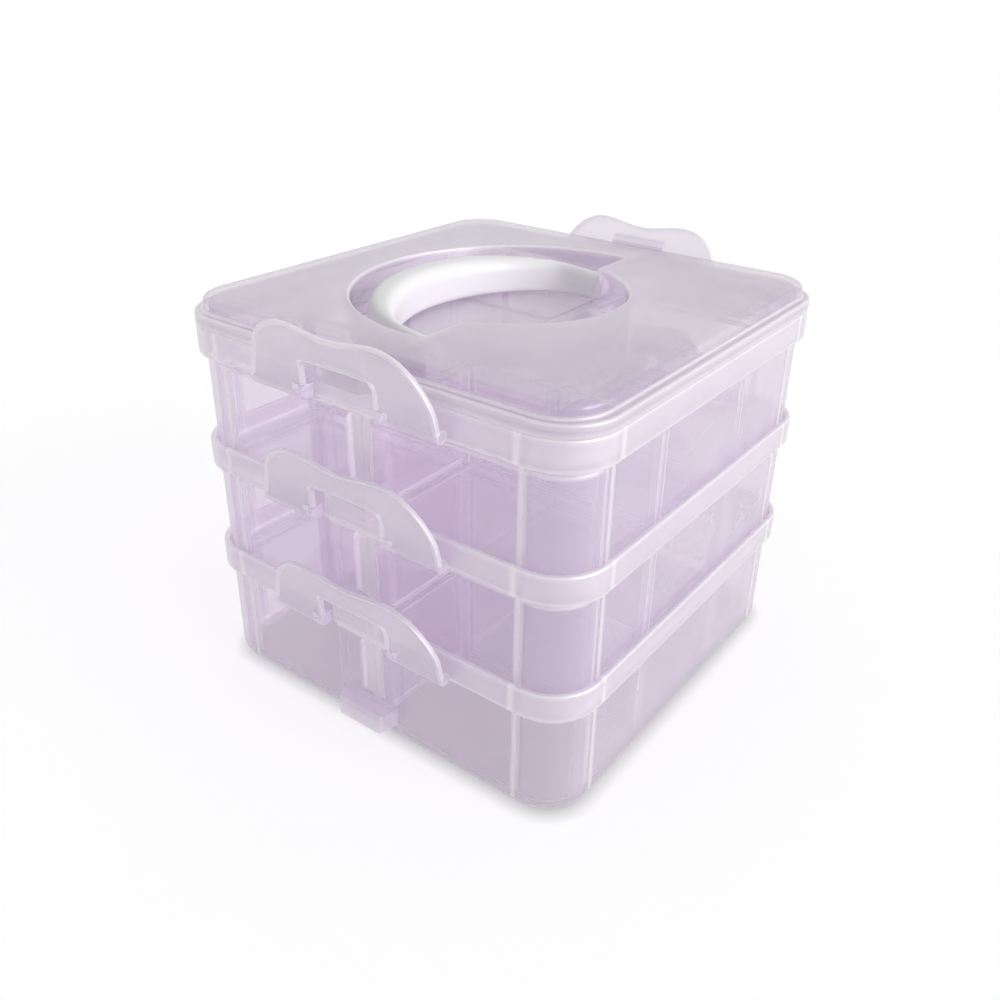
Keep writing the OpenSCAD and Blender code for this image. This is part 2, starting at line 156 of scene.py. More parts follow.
def slab(outline, low, high, edge, axes="xyz", steps=4, depth=1.0, fade=0.0):
    """A plate: a closed outline carried from low to high, its two rims rounded by insetting the outline
    along its own normals by edge (1 - sin) at a depth of edge (1 - cos). Axes names where the outline's
    two coordinates and the height go. With a fade, each flat side gets an inner ring, the outline scaled
    towards its box's middle to lie that far in, within which the plate counts as thin."""
    tangent = np.roll(outline, -1, 0) - np.roll(outline, 1, 0)
    tangent /= np.maximum(np.linalg.norm(tangent, axis=1, keepdims=True), 1e-9)
    normal = np.stack([tangent[:, 1], -tangent[:, 0]], 1)
    x, y = outline.T
    if (x * np.roll(y, -1) - np.roll(x, -1) * y).sum() < 0:
        normal = -normal
    a = np.linspace(0, math.pi / 2, steps)
    inset = edge * np.concatenate([1 - np.sin(a), 1 - np.sin(a)[::-1]])
    height = np.concatenate([low + edge * (1 - np.cos(a)), high - edge * (1 - np.cos(a))[::-1]])
    flat = outline[None] - normal[None] * inset[:, None, None]
    depths = np.full(len(height), float(depth))
    if fade:
        middle, half = (outline.max(0) + outline.min(0)) / 2, (outline.max(0) - outline.min(0)) / 2
        inner = (middle + (outline - middle) * (1 - (fade + edge) / half))[None]
        flat = np.concatenate([inner, flat, inner])
        height = np.concatenate([[low], height, [high]])
        depths = np.concatenate([[0], depths, [0]])
    grid = np.empty((len(height), len(outline), 3))
    grid[..., "xyz".index(axes[0])] = flat[..., 0]
    grid[..., "xyz".index(axes[1])] = flat[..., 1]
    grid[..., "xyz".index(axes[2])] = height[:, None]
    return skin(grid, False, True, depths[:, None])


def moved(part, offset=(0, 0, 0), flip=(1, 1, 1)):
    """A copy of a part, mirrored and then shifted. An odd number of mirrors turns its faces back outwards."""
    points, faces, depths = part
    if np.prod(flip) < 0:
        faces = [f[::-1] for f in faces]
    return points * np.array(flip) + np.array(offset), faces, depths


def piece(name, parts, material, body, stands_for, sharp=38):
    """Joins parts into one mesh object in metres, smooth but for sharp angles, and gives it to the frame."""
    mesh = bpy.data.meshes.new(name)
    points, faces, depths = zip(*parts)
    shift = np.cumsum([0] + [len(p) for p in points[:-1]])
    faces = [[i + s for i in f] for fs, s in zip(faces, shift.tolist()) for f in fs]
    mesh.from_pydata((np.vstack(points) * 0.001).tolist(), [], faces)
    mesh.attributes.new("depth", "FLOAT", "POINT").data.foreach_set("value", np.concatenate(depths))
    mesh.shade_smooth()
    mesh.set_sharp_from_angle(angle=math.radians(sharp))
    obj = bpy.data.objects.new(name, mesh)
    bpy.context.scene.collection.objects.link(obj)
    weighted = obj.modifiers.new("even shading", "WEIGHTED_NORMAL")
    weighted.keep_sharp = True
    obj.data.materials.append(material)
    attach(obj, body)
    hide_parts(*stands_for)
    return obj


def polypropylene(name, milk_hex, painted_glow_hex, clear_hex, shade_hex, least, most, rough, bright):
    """Moulded clear polypropylene. It passes most light straight through, faintly tinted, and the milky
    crystals in it scatter the rest, partly as a veil that throws back the room in front of it. The milk
    goes from its least share, square on, to its most, edge-on, and thickens where the eye looks into a rim
    or a rib. With depth its colour also turns towards the paler glow colour: a painted glow and painted
    highlights that stand in for light piped along edges and caught at corners. Bright is the veil's part of
    it, and rough is the tool's finish on the skin. Shadow and diffuse rays meet only a plain tint."""
    material = bpy.data.materials.new(name)
    material.use_nodes = True
    tree = material.node_tree
    tree.nodes.clear()
    place = add(tree, "ShaderNodeTexCoord").outputs["Object"]
    # The melt's flow leaves clouds about 33 mm across, and the cooling wall ripples about every 11 mm.
    flow = add(tree, "ShaderNodeTexNoise", {"Scale": 30.0, "Detail": 3.0, "Roughness": 0.55}, Vector=place)
    ripple = add(tree, "ShaderNodeTexNoise", {"Scale": 90.0, "Detail": 1.0}, Vector=place)
    bump = add(tree, "ShaderNodeBump", {"Strength": 0.08, "Distance": 0.0004}, Height=ripple.outputs["Fac"])
    depth = add(tree, "ShaderNodeAttribute", {"attribute_name": "depth"}).outputs["Fac"]
    facing = add(tree, "ShaderNodeLayerWeight", {"Blend": 0.5})
    grazing = add(tree, "ShaderNodeMath", {"operation": "POWER", 1: 2.5}, _0=facing.outputs["Facing"])
    thin = add(tree, "ShaderNodeMapRange", {"To Min": least, "To Max": most}, Value=grazing.outputs[0])
    deep = add(tree, "ShaderNodeMath", {"operation": "MULTIPLY_ADD", 1: 0.6}, _0=depth, _2=thin.outputs[0])
    cloud = add(tree, "ShaderNodeMapRange", {"From Min": 0.3, "From Max": 0.7, "To Min": 0.9, "To Max": 1.1},
                Value=flow.outputs["Fac"])
    share = add(tree, "ShaderNodeMath", {"operation": "MULTIPLY", "use_clamp": True},
                _0=deep.outputs[0], _1=cloud.outputs[0])
    colour = add(tree, "ShaderNodeMix",
                 {"data_type": "RGBA", 6: linear(milk_hex), 7: linear(painted_glow_hex)}, _0=depth)
    clear = add(tree, "ShaderNodeBsdfTransparent", {"Color": linear(clear_hex)})
    front = add(tree, "ShaderNodeBsdfDiffuse", {}, Color=colour.outputs[2])
    through = add(tree, "ShaderNodeBsdfTranslucent", {}, Color=colour.outputs[2])
    milk = add(tree, "ShaderNodeMixShader", {0: 0.5}, _1=front.outputs[0], _2=through.outputs[0])
    inside = add(tree, "ShaderNodeMixShader", _0=share.outputs[0], _1=clear.outputs[0], _2=milk.outputs[0])
    gloss = add(tree, "ShaderNodeBsdfGlossy", {"Roughness": rough}, Normal=bump.outputs["Normal"])
    tilt = add(tree, "ShaderNodeLayerWeight", {"Blend": 0.5}, Normal=bump.outputs["Normal"])
    fifth = add(tree, "ShaderNodeMath", {"operation": "POWER", 1: 5.0}, _0=tilt.outputs["Facing"])
    mirror = add(tree, "ShaderNodeMapRange", {"To Min": 0.04, "To Max": 0.9}, Value=fifth.outputs[0])
    piped = add(tree, "ShaderNodeMath", {"operation": "MULTIPLY", 1: bright}, _0=share.outputs[0])
    veil = add(tree, "ShaderNodeBsdfGlossy", {"Roughness": 0.5})
    body = add(tree, "ShaderNodeMixShader", _0=piped.outputs[0], _1=inside.outputs[0], _2=veil.outputs[0])
    final = add(tree, "ShaderNodeMixShader", _0=mirror.outputs[0], _1=body.outputs[0], _2=gloss.outputs[0])
    ray = add(tree, "ShaderNodeLightPath")
    lit = add(tree, "ShaderNodeMath", {"operation": "MAXIMUM"},
              _0=ray.outputs["Is Shadow Ray"], _1=ray.outputs["Is Diffuse Ray"])
    passed = add(tree, "ShaderNodeBsdfTransparent", {"Color": linear(shade_hex)})
    both = add(tree, "ShaderNodeMixShader", _0=lit.outputs[0], _1=final.outputs[0], _2=passed.outputs[0])
    add(tree, "ShaderNodeOutputMaterial", Surface=both.outputs[0])
    return material


# The walls are thin and clear, with milky rims that carry a painted glow.
tray_plastic = polypropylene("lilac_polypropylene_tray", "F0E2F8", "FCF4FE", "FEFCFE", "FCFAFD",
                             least=0.07, most=0.55, rough=0.14, bright=0.5)


def square_path(along_x, along_y, turn_steps=11):
    """Walks once round the square of corner centres. Gives each station's point on the square, its outward
    normal, the side it lies on (0 and 2 face X, 1 and 3 face Y, -1 is a corner) and its place along it."""
    bend = np.linspace(0, math.pi / 2, turn_steps + 2)[1:-1]
    base, normal, side, place = [], [], [], []
    for k, stations in enumerate((along_y, along_x) * 2):
        t = np.concatenate([stations, np.full(len(bend), CORNER)])
        angle = np.concatenate([np.zeros(len(stations)), bend]) + k * math.pi / 2
        c, s = math.cos(k * math.pi / 2), math.sin(k * math.pi / 2)
        base.append(np.stack([c * CORNER - s * t, s * CORNER + c * t], 1))
        normal.append(np.stack([np.cos(angle), np.sin(angle)], 1))
        side.append(np.where(np.arange(len(t)) < len(stations), k, -1))
        place.append(t)
    return np.vstack(base), np.vstack(normal), np.concatenate(side), np.concatenate(place)


def mirrored(values):
    """A list of distances and the same ones on the other side of the middle, in order."""
    v = np.array(values, float)
    return np.unique(np.concatenate([-v, v]))


def tray_shell():
    """The tray's wall section carried round the square path: a point at distance r goes to the path's point
    plus r times its normal. The section bulges into the pads over the catches, dips at the rim's notches and
    loses its ledge at the divider slots."""
    section = rounded(
        [(9.5, FLOOR_T), (WALL_IN, FLOOR_T), (WALL_IN, 34.0), (LEDGE_IN, 37.7), (LEDGE_IN, PITCH),
         (RIM_IN, PITCH), (RIM_IN, RIM_TOP), (RIM_OUT, RIM_TOP), (RIM_OUT, RIM_LOW), (WALL_OUT, RIM_LOW),
         (WALL_OUT, 0), (9.5, 0)],
        [0, 2.2, 0.6, 0.25, 0.3, 0.4, 0.7, 0.7, 0.6, 0.5, 4.0, 0], 6, closed=False)
    section = refined(section, 1.0)
    # Extra stations near each corner carry the painted highlight lines there.
    corner_highlight_stations = [50, 54.4, 54.9, 55.4, 56, 56.6, 57.1, 57.6, CORNER]
    along_x = mirrored([0, 2, 3.7, 4.1, 4.5, 6, 8, 10, 10.4, 10.8, 11.6, 11.8, 12, 12.2, 12.4, 12.7, 13,
                        16, 22, 30, 40] + corner_highlight_stations)
    along_y = mirrored([0, 8, 16, 23.9, 23.95, 25, 26.05, 26.1, 34, 42] + corner_highlight_stations)
    base, normal, side, place = square_path(along_x, along_y)
    on_y = np.isin(side, (1, 3))[:, None]
    far = np.abs(place)[:, None]
    r, z = (np.broadcast_to(section[:, k], (len(base), len(section))).copy() for k in (0, 1))
    bulge = np.where(on_y, 1 - ease(far, PAD_HALF - 0.4, PAD_HALF + 0.4), 0)
    outer = (r > WALL_IN + 0.9) & (z < RIM_LOW + 0.02) & (z > 8)
    pad = np.minimum(r + PAD_OUT * bulge * ease(z, 10.0, 12.0), RIM_OUT - 0.4)
    r = np.where(outer, np.maximum(r, pad), r)
    hollow = np.where(on_y, ease(far, POST_HALF - 0.1, POST_HALF + 0.4) * (1 - ease(far, 10.2, 10.7)), 0)
    inner = (r < WALL_IN + 0.01) & (z > 12) & (z < 33.4)
    r = np.where(inner, r + PAD_OUT * hollow * ease(z, 12.4, 13.2) * (1 - ease(z, 32.4, 33.3)), r)
    notch = np.where(on_y, 1 - ease(far, PAD_HALF - 0.6, PAD_HALF), 0)
    z = np.where(r > RIM_IN - 0.8, np.minimum(z, RIM_TOP - 2.6 * notch), z)
    in_slot = ~on_y & (side[:, None] >= 0) & (np.abs(far - SLOT_Y) < SLOT_HALF + 0.001)
    r = np.where(in_slot & (z > 5), np.maximum(r, WALL_IN - 0.02), r)
    xy = base[:, None] + normal[:, None] * r[..., None]
    # Depth: more milk where the eye looks into thick plastic, at the rims, edges, foot and the post behind
    # each pad, and with it the paler colour's painted glow along those edges.
    sharp = near_spots(section, [(RIM_IN, RIM_TOP), (RIM_OUT, RIM_TOP), (RIM_OUT, RIM_LOW),
                                 (WALL_OUT, RIM_LOW), (LEDGE_IN, PITCH), (WALL_IN, 34.0)], 1.3)
    foot = near_spots(section, [(WALL_OUT - 1.2, 1.2)], 3.0)
    foot += near_spots(section, [(WALL_IN - 0.7, FLOOR_T + 0.7)], 1.6)
    solid = np.where((section[:, 0] > WALL_OUT - 0.2) & (section[:, 1] > RIM_LOW - 0.2), 0.5, 0.0)
    post = np.where(on_y, 1.5 * (1 - ease(far, POST_HALF, POST_HALF + 0.6)), 0) * inner
    # Painted highlights: bright vertical lines on the flat sides just before each corner's arc, and a faint
    # painted brightening all round the corner arcs.
    turn = np.where(side[:, None] >= 0, 0, 0.15) + 0.9 * (1 - ease(np.abs(far - 56), 0.3, 1.4))
    plain = np.maximum(sharp + 0.7 * foot, solid)[None]
    depth = np.clip(plain + post + turn * (section[:, 0] > 11)[None], 0, 1.6)
    return skin(np.dstack([xy, z]), True, False, depth)


def catch():
    """A catch: its side view, with a ramp at the top, runs along X, and each slice is cut off at the plan's
    reach, which rounds and tapers towards both ends."""
    side = [(0, CATCH_LOW), (CATCH_OUT, CATCH_LOW), (CATCH_OUT, CATCH_HIGH - 1.48),
            (CATCH_OUT - 1, CATCH_HIGH), (0, CATCH_HIGH)]
    side = refined(rounded(side, [0.02, 0.5, 0.35, 0.4, 0.02], 5), 0.8, closed=True)
    x = mirrored([0, 4, 6.5, 7.1, 7.6, 8.0, 8.4, 8.7, 8.9, 9.0, 9.2, 9.6, 10.2, CATCH_HALF])
    limit = CATCH_OUT - 2 + np.sqrt(np.maximum(0, 4 - np.maximum(0, np.abs(x) - 7.1) ** 2))
    limit = np.maximum(np.minimum(limit, (CATCH_HALF - np.abs(x)) * 5.33), 0)
    y = np.minimum(side[None, :, 0], limit[:, None])
    grid = np.dstack([np.broadcast_to(x[:, None], y.shape), -(CORNER + WALL_OUT - 0.1) - y,
                      np.broadcast_to(side[None, :, 1], y.shape)])
    return skin(grid, False, True, 0.35)


HINGE_OUT, HINGE_UP, ROD_R, BARREL_R = 2.5, 2.2, 1.1, 2.1  # its axis from the rim's foot, and its two radii
LUG_LOW, LUG_HIGH, ROD_END = 13.6, 15.9, 33.9
HINGE_Y, HINGE_Z = FACE + HINGE_OUT, RIM_LOW + HINGE_UP


def circle(radius, angle):
    """Points on a circle about the origin: the radius times the cosine and the sine of each angle."""
    return radius * np.stack([np.cos(angle), np.sin(angle)], 1)


def hinge_lugs():
    """On each side of the latch's window, a round-nosed lug and the rod that reaches outwards from it."""
    nose = [(FACE - 0.2, HINGE_Z - HINGE_UP), (HINGE_Y + HINGE_UP, HINGE_Z - HINGE_UP),
            (HINGE_Y + HINGE_UP, HINGE_Z + HINGE_UP), (FACE - 0.2, HINGE_Z + HINGE_UP)]
    lug = rounded(nose, [0.05, HINGE_UP, HINGE_UP, 0.05], 12) * (-1, 1)
    rod = circle(ROD_R, np.linspace(0, 2 * math.pi, 24, endpoint=False)) + (-HINGE_Y, HINGE_Z)
    parts = [slab(lug, LUG_LOW, LUG_HIGH, 0.35, "yzx", depth=0.4),
             slab(rod, LUG_HIGH - 0.05, ROD_END, 0.15, "yzx", 3, 0.1)]
    return parts + [moved(p, flip=(-1, 1, 1)) for p in parts]


def tray_insides():
    """The fixed middle wall, and the ribs on it and on the outer walls that guide the dividers, as thin
    plates with rounded free edges."""
    end, low, top = CORNER + WALL_IN + 0.05, FLOOR_T - 0.1, PITCH - 0.4
    wall = rounded([(-end, low), (end, low), (end, top), (-end, top)], [0.02, 0.02, 0.5, 0.5])
    parts = [slab(wall, -0.8, 0.8, 0.45, "yzx", fade=1.0)]
    for x_low, x_high, top in ((68.6, end, 35.6), (0.75, 3.0, 34.0)):
        rib = rounded([(x_low, low), (x_high, low), (x_high, top), (x_low, top)], [0.02, 0.02, 0.3, 0.3])
        for middle in (SLOT_Y - 1.65, SLOT_Y + 1.65):
            one = slab(rib, middle - 0.6, middle + 0.6, 0.3, "xzy", depth=0.6)
            parts += [moved(one, flip=(sx, sy, 1)) for sx in (1, -1) for sy in (1, -1)]
    return parts


one_tray = [tray_shell(), catch(), moved(catch(), flip=(1, -1, 1))]
one_tray += [moved(p, flip=(1, s, 1)) for p in hinge_lugs() for s in (1, -1)] + tray_insides()
LEVELS = ("bottom", "middle", "top")
level_z = [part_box("tray_" + storey)[0].z * 1000 for storey in LEVELS]
for storey, z in zip(LEVELS, level_z):
    body = "tray_" + storey
    piece(body + "_moulding", [moved(p, (0, 0, z)) for p in one_tray], tray_plastic, body, [body])

# ---- Dividers ----
# Thin, flat plates of the same clear plastic, with rounded lower outer corners and slightly eased edges.
# Each drops into a pair of grooves and lifts out again.

# A divider is flatter and thinner than the walls, so a little clearer.
divider_plastic = polypropylene("lilac_polypropylene_divider", "F0E2F8", "FAF2FC", "FEFDFE", "FCFAFD",
                                least=0.05, most=0.50, rough=0.18, bright=0.5)
for storey in LEVELS:
    for k in range(4):
        name = f"divider_{storey}_{k + 1}"
        low, high = (np.array(c) * 1000 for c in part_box(name))
        sx = 1 if low[0] > 0 else -1
        near, far = sorted(abs(v) for v in (low[0], high[0]))
        outline = rounded([(near, low[2]), (far, low[2]), (far, high[2]), (near, high[2])],
                          [0.3, 2.6, 0.5, 0.5], 7)
        plate = moved(slab(outline, low[1], high[1], 0.3, "xzy", fade=1.0), flip=(sx, 1, 1))
        piece(name + "_plate", [plate], divider_plastic, name, [name])

# ---- Latches ----
# Each latch is a curved plate of the same plastic that leans out at its top to be gripped, with a raised
# border, a window over the catch, a hook along the window's upper edge and two barrels that snap on the rods.

LATCH_H, LATCH_HALF, HUMP_X, DIP = 23.4, 35.0, 17.0, 1.9  # the two humps and the dip between them
WINDOW_HALF, WINDOW_TOP, BARREL_IN = 13.2, 12.3, LUG_HIGH + 0.3
# The latches' thicker plate holds more milk, so it looks paler.
latch_plastic = polypropylene("lilac_polypropylene_latch", "F8F0FC", "FCF5FE", "FCFAFD", "FCFAFD",
                              least=0.20, most=0.65, rough=0.16, bright=0.6)


def latch_edge(x):
    """Height of the upper edge over the rim's foot: a cosine dip between the humps, then a superellipse down
    to the sides."""
    x = np.abs(x)
    middle = LATCH_H - DIP * (1 + np.cos(math.pi * np.minimum(x, HUMP_X) / HUMP_X)) / 2
    side = np.clip((x - HUMP_X) / (LATCH_HALF - HUMP_X), 0, 1)
    return np.where(x <= HUMP_X, middle, LATCH_H * (1 - side**2.1) ** (1 / 1.9))


def lean(h):
    """How far the plate's outer face stands off the rim at a height over the rim's foot."""
    return 4.4 + 0.4 * np.minimum(1, h / 9) + 3.8 * (np.maximum(0, h - 9) / (LATCH_H - 9)) ** 1.1


def along(line, shares):
    """Points of a line at the given shares of its length."""
    d = np.concatenate([[0], np.cumsum(np.linalg.norm(np.diff(line, axis=0), axis=1))])
    return np.stack([np.interp(shares * d[-1], d, line[:, k]) for k in (0, 1)], 1)


def latch_plate():
    """The plate is a strip between two lines, the window's edge and the outer edge, from foot to foot. Its
    cross-section, carried along the strip, has a raised border at each line and a thinner web between."""
    foot, notch, side_x = HINGE_UP, 2 * HINGE_UP + 0.35, 34.58
    u = np.linspace(0, 1, 90)
    edge_x = side_x * np.cos(u * math.pi / 2)
    outer_half = np.stack([edge_x, latch_edge(edge_x)], 1)
    outer_half[0, 1] = notch
    inner_half = rounded([(WINDOW_HALF, notch), (WINDOW_HALF, WINDOW_TOP), (0, WINDOW_TOP)],
                         [0, 2.4, 0], 9, closed=False)
    shares = np.linspace(0, 1, 72)
    rise = np.array([0, 0.35, 0.7, 1.0])[:, None]
    inner = np.vstack([(BARREL_IN, foot) + rise * (0, notch - foot), along(inner_half, shares)])
    outer = np.vstack([(34.95, foot) + rise * (side_x - 34.95, notch - foot), along(outer_half, shares)])
    inner = np.vstack([inner, inner[::-1][1:] * (-1, 1)])
    outer = np.vstack([outer, outer[::-1][1:] * (-1, 1)])
    width = np.linalg.norm(outer - inner, axis=1)[:, None]
    # Across the strip: how far each point lies from its edge line, and how far it stands off the outer face.
    border = np.array([(0, -1.4), (0, -0.45), (0.12, -0.13), (0.4, 0), (0.95, 0), (1.25, -0.1),
                       (1.5, -0.38), (1.9, -0.45)])
    back = np.array([(0, -1.4), (0.15, -1.7), (0.5, -1.8)])
    mid = np.array([0.3, 0.45, 0.6, 0.75])
    flat = np.zeros(4)
    share = np.concatenate([np.zeros(8), mid, np.ones(8), np.ones(3), mid[::-1], np.zeros(2)])
    offset = np.concatenate([border[:, 0], flat, -border[::-1, 0], -back[1:, 0], [-2.5], flat,
                             back[:0:-1, 0]])
    stand = np.concatenate([border[:, 1], flat - 0.45, border[::-1, 1], back[1:, 1], [-1.8], flat - 1.8,
                            back[:0:-1, 1]])
    t = np.clip(share[None] + offset[None] / width, 0, 1)
    xh = inner[:, None] + (outer - inner)[:, None] * t[..., None]
    y = -(FACE + lean(xh[..., 1]) + stand[None])
    depth = np.concatenate([np.full(7, 0.5), np.zeros(6), np.full(7, 0.5), np.full(len(share) - 20, 0.1)])
    return skin(np.dstack([xh[..., 0], y, RIM_LOW + xh[..., 1]]), False, True, depth)


def latch_fittings():
    """The hook's wedge inside the window's upper edge, and the two barrels: rings that are open towards the
    wall, where they snap over the rods, with a round cap on their outer end."""
    top = RIM_LOW + WINDOW_TOP
    hook = np.array([(3.6, top + 1.8), (4.8, top), (5.2, top), (5.9, top + 6.0), (3.6, top + 3.9)])
    hook = rounded(hook, [0.15, 0.1, 0.1, 0.1, 0.4], 4) + (FACE, 0)
    outside, bore = (np.radians(np.linspace(*ends)) for ends in ((25, 335, 40), (310, 50, 30)))
    ring = np.vstack([circle(BARREL_R, outside), circle(ROD_R + 0.06, bore)]) + (-HINGE_Y, HINGE_Z)
    disc = circle(BARREL_R, np.linspace(0, 2 * math.pi, 40, endpoint=False)) + (-HINGE_Y, HINGE_Z)
    sides = [slab(ring, BARREL_IN, ROD_END + 0.35, 0.2, "yzx", 3, 0.1),
             slab(disc, ROD_END + 0.3, LATCH_HALF, 0.4, "yzx", 4, 0.1)]
    parts = [slab(hook * (-1, 1), -10.75, 10.75, 0.15, "yzx", 3, 0.3)]
    return parts + sides + [moved(p, flip=(-1, 1, 1)) for p in sides]


one_latch = [latch_plate()] + latch_fittings()
for storey, z in zip(LEVELS, level_z):
    for face, s in (("front", 1), ("rear", -1)):
        body = f"latch_{face}_{storey}"
        parts = [moved(p, (0, 0, z), (1, s, 1)) for p in one_latch]
        piece(body + "_moulding", parts, latch_plastic, body, [body])

# ---- Lid ----
# One moulding of the same plastic: a flange that sits on the top rim, a raised cap, a short plug that enters
# the rim, and a deep well where the handle folds away, with two posts that take the handle's pins.

LID_Z, LID_TOP, LID_T = level_z[2] + RIM_TOP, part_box("lid")[1].z * 1000, 1.6
WELL_DEEP, WELL_R, WELL_X = 14.2, 54.0, 5.0  # the well's wide side and its centre's place
FINGER_R, STEP_X = 33.0, 9.2  # the well's finger side and the step between the two
WELL_Z, PIVOT_X, PIVOT_Z, EAR_Y = LID_TOP - WELL_DEEP, 3.0, LID_TOP - 9.1, 47.7
# The lid's milk is greyer than the trays', painted shade that darkens its top.
lid_plastic = polypropylene("lilac_polypropylene_lid", "C8BCD0", "F6EEF8", "FDFBFD", "FCFAFD",
                            least=0.08, most=0.55, rough=0.16, bright=0.45)


def rim_reach(angle, r):
    """Distance, along an angle, from the middle to the rounded square at r from its corner centres."""
    c, s = np.abs(np.cos(angle)), np.abs(np.sin(angle))
    flat = (CORNER + r) / np.maximum(c, s)
    k = CORNER * (c + s)
    corner = k + np.sqrt(np.maximum(0, k * k - 2 * CORNER**2 + r * r))
    return np.where(flat * np.minimum(c, s) <= CORNER, flat, corner)


def well_reach(angle, z, grow):
    """Distance from the middle to the well's wall: the wide side is a circle cut off at the step, and the
    finger side is a smaller circle. Both widen upwards."""
    up = (z - WELL_Z) / WELL_DEEP
    c, s = np.cos(angle), np.sin(angle)
    wide = WELL_R + 1.5 * up + grow
    wide = WELL_X * c + np.sqrt(wide**2 - (WELL_X * s) ** 2)
    wide = np.where(c > 1e-6, np.minimum(wide, (STEP_X + grow) / np.maximum(c, 1e-6)), wide)
    narrow = FINGER_R + 4 * up + grow
    blend = 1.2
    h = np.clip(0.5 + 0.5 * (wide - narrow) / blend, 0, 1)
    return narrow + (wide - narrow) * h + blend * h * (1 - h)


def lid_shell():
    """The lid's section runs from the well's floor up its wall, over the cap, down the flange and plug and
    back under to the well's outside. Round the middle, each point goes to the well's outline or the rim's."""
    # A point's first number is how far it stands off the well's wall or, past cut, off the corner centres.
    out, cut = RIM_OUT - 2.8, 20
    section = rounded(
        [(-4, WELL_Z), (0, WELL_Z), (0, LID_TOP), (cut + out, LID_TOP), (cut + out, LID_Z + 4),
         (cut + RIM_OUT, LID_Z + 4), (cut + RIM_OUT, LID_Z), (cut + WALL_OUT, LID_Z),
         (cut + WALL_OUT, LID_Z - 2.5), (cut + out - LID_T, LID_Z - 2.5),
         (cut + out - LID_T, LID_TOP - LID_T), (LID_T, LID_TOP - LID_T), (LID_T, WELL_Z - LID_T),
         (-4, WELL_Z - LID_T)],
        [0, 1.8, 0.9, 2.0, 0.4, 0.7, 0.5, 0.3, 0.4, 0.4, 1.0, 0.6, 3.0, 0], 6, closed=False)
    section = refined(section[section[:, 0] < 12], 1.6), refined(section[section[:, 0] > 12], 1.6)
    degrees = [np.arange(0, 360, 3), np.arange(72, 84, 0.5), np.arange(276, 288, 0.5)]
    degrees += [np.arange(36, 55, 1) + 90 * k for k in range(4)]
    angle = np.radians(np.unique(np.concatenate(degrees)))[:, None]
    inner, outer = section
    rise = int(np.argmax(inner[:, 1] >= LID_TOP - 0.001)) + 1
    up, under = inner[:rise], inner[rise:]
    reach = np.hstack([well_reach(angle, up[None, :, 1], up[None, :, 0]),
                       rim_reach(angle, outer[None, :, 0] - cut),
                       well_reach(angle, under[None, :, 1], under[None, :, 0])])
    joined = np.vstack([up, outer, under])
    z = np.broadcast_to(joined[:, 1], reach.shape)
    # Depth: more milk where the eye looks into the cap's and flange's edges and the well's floor corner, and
    # with it a painted glow and highlight along them.
    depth = near_spots(joined, [(0, LID_TOP), (cut + out, LID_Z + 4), (cut + RIM_OUT, LID_Z + 4),
                                (cut + RIM_OUT, LID_Z), (cut + WALL_OUT, LID_Z - 2.5)], 1.5)
    depth = np.maximum(depth, 0.7 * near_spots(joined, [(0.6, WELL_Z)], 2.2))
    solid = (joined[:, 0] > cut + out - 1.8) & (joined[:, 1] < LID_Z + 4)
    depth = np.maximum(depth, np.where(solid, 0.5, 0))
    return skin(np.dstack([reach * np.cos(angle), reach * np.sin(angle), z]), True, False, depth)


def ear():
    """A post for one pin: rings about the pin's axis run from the blind bore's end, out over the face and
    back along the post's sides."""
    outline = rounded([(-5, -5.4), (6.6, -5.4), (6.6, 5), (-5, 5)], [0.3, 0.3, 0.6, 4.9], 9)
    outline = refined(outline, 0.9, closed=True)
    outline = outline[np.argsort(np.arctan2(outline[:, 1], outline[:, 0]))]
    unit = outline / np.linalg.norm(outline, axis=1, keepdims=True)
    bore, deep = 2.06, 4.9
    rings = [(unit * 0.01, deep), (unit * bore, deep), (unit * bore, 0.3), (unit * 2.3, 0.0),
             (outline * 0.95, 0.0), (outline, 0.35), (outline, 6.5), (outline * 0.5, 6.55)]
    grid = np.stack([np.insert(q + (PIVOT_X, PIVOT_Z), 1, -EAR_Y - d, axis=1) for q, d in rings])
    return skin(grid, False, True, 0.6)


twice = [ear(), moved(catch(), (0, 0, level_z[2] + PITCH))]
lid_parts = [lid_shell()] + twice + [moved(p, flip=(1, -1, 1)) for p in twice]
piece("lid_moulding", lid_parts, lid_plastic, "lid", ["lid"])

# ---- Handle ----
# A solid white polypropylene grip, C-shaped, thicker towards its middle and rounded all over, moulded with
# a boss and a pin at each end that turn in the lid's posts.

GRIP_R, GRIP_W, ARM_W, END_H = 47.2, 11.6, 4.2, 9.2  # outer radius, middle width, end width and end height
GRIP_FULL, INNER_R = 2.2, 52.0  # the outer line's superellipse power and the inner line's radius
PIN_R, PIN_OUT = 2.0, 4.6


